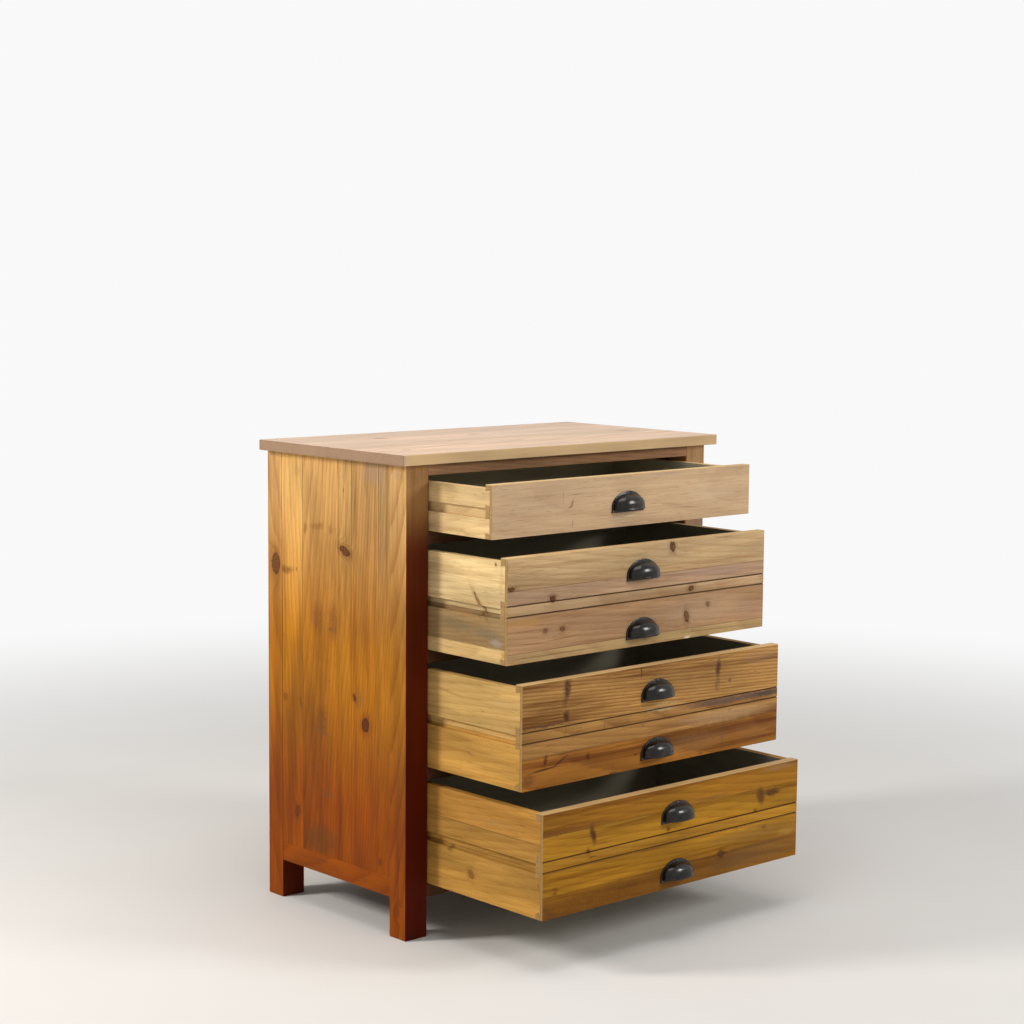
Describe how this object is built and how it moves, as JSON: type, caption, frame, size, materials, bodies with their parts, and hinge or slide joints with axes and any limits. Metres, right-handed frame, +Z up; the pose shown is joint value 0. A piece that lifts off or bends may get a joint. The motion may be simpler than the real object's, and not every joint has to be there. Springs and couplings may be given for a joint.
{
  "type": "chest of drawers",
  "caption": "Pine chest of drawers on square post legs, with dovetailed side-hung drawers that slide open, metal cup pulls and an overhanging top.",
  "frame": {"origin": "on the floor, in the middle of the width and of the depth over the drawers as they stand open at rest", "axes": "+X along the front to the right, +Y from the drawer fronts to the back, +Z up from the floor"},
  "size_m": [0.82, 0.7606, 0.9],
  "materials": {
    "carcass_wood": "waxed, satin",
    "top_wood": "waxed, satin",
    "back_wood": "plain, matte",
    "runner_wood": "plain, matte",
    "top_front_wood": "waxed, satin",
    "second_front_wood": "waxed, satin",
    "third_front_wood": "waxed, satin",
    "bottom_front_wood": "waxed, satin",
    "drawer_side_wood": "plain, matte",
    "drawer_back_wood": "plain, matte",
    "drawer_bottom_wood": "painted, matte",
    "pull_metal": "antique bronze, worn",
    "screw_metal": "darkened"
  },
  "bodies": {
    "carcass": {"top_board": "top_wood", "front_left_post": "carcass_wood", "front_right_post": "carcass_wood", "rear_left_post": "carcass_wood", "rear_right_post": "carcass_wood", "left_side_panel": "carcass_wood", "right_side_panel": "carcass_wood", "left_side_rail": "carcass_wood", "right_side_rail": "carcass_wood", "front_top_rail": "carcass_wood", "upper_divider_rail": "carcass_wood", "middle_divider_rail": "carcass_wood", "lower_divider_rail": "carcass_wood", "front_bottom_rail": "carcass_wood", "back_boards": "back_wood", "back_top_rail": "back_wood", "back_bottom_rail": "back_wood", "glue_blocks": "back_wood", "top_left_runner": "runner_wood", "top_right_runner": "runner_wood", "second_left_runner": "runner_wood", "second_right_runner": "runner_wood", "third_left_runner": "runner_wood", "third_right_runner": "runner_wood", "bottom_left_runner": "runner_wood", "bottom_right_runner": "runner_wood"},
    "top_drawer": {"top_drawer_front": "top_front_wood", "top_drawer_left_side": "drawer_side_wood", "top_drawer_right_side": "drawer_side_wood", "top_drawer_back": "drawer_back_wood", "top_drawer_bottom": "drawer_bottom_wood", "top_drawer_pull": "pull_metal", "top_drawer_pull_screws": "screw_metal"},
    "second_drawer": {"second_drawer_front": "second_front_wood", "second_drawer_left_side": "drawer_side_wood", "second_drawer_right_side": "drawer_side_wood", "second_drawer_back": "drawer_back_wood", "second_drawer_bottom": "drawer_bottom_wood", "second_drawer_upper_pull": "pull_metal", "second_drawer_lower_pull": "pull_metal", "second_drawer_pull_screws": "screw_metal"},
    "third_drawer": {"third_drawer_front": "third_front_wood", "third_drawer_left_side": "drawer_side_wood", "third_drawer_right_side": "drawer_side_wood", "third_drawer_back": "drawer_back_wood", "third_drawer_bottom": "drawer_bottom_wood", "third_drawer_upper_pull": "pull_metal", "third_drawer_lower_pull": "pull_metal", "third_drawer_pull_screws": "screw_metal"},
    "bottom_drawer": {"bottom_drawer_front": "bottom_front_wood", "bottom_drawer_left_side": "drawer_side_wood", "bottom_drawer_right_side": "drawer_side_wood", "bottom_drawer_back": "drawer_back_wood", "bottom_drawer_bottom": "drawer_bottom_wood", "bottom_drawer_upper_pull": "pull_metal", "bottom_drawer_lower_pull": "pull_metal", "bottom_drawer_pull_screws": "screw_metal"}
  },
  "joints": [
    {"name": "top_drawer_slide", "type": "slide", "parent": "carcass", "child": "top_drawer", "axis": [0, -1, 0], "range_m": [-0.172, 0.168]},
    {"name": "second_drawer_slide", "type": "slide", "parent": "carcass", "child": "second_drawer", "axis": [0, -1, 0], "range_m": [-0.214, 0.126]},
    {"name": "third_drawer_slide", "type": "slide", "parent": "carcass", "child": "third_drawer", "axis": [0, -1, 0], "range_m": [-0.256, 0.084]},
    {"name": "bottom_drawer_slide", "type": "slide", "parent": "carcass", "child": "bottom_drawer", "axis": [0, -1, 0], "range_m": [-0.312, 0.028]}
  ]
}
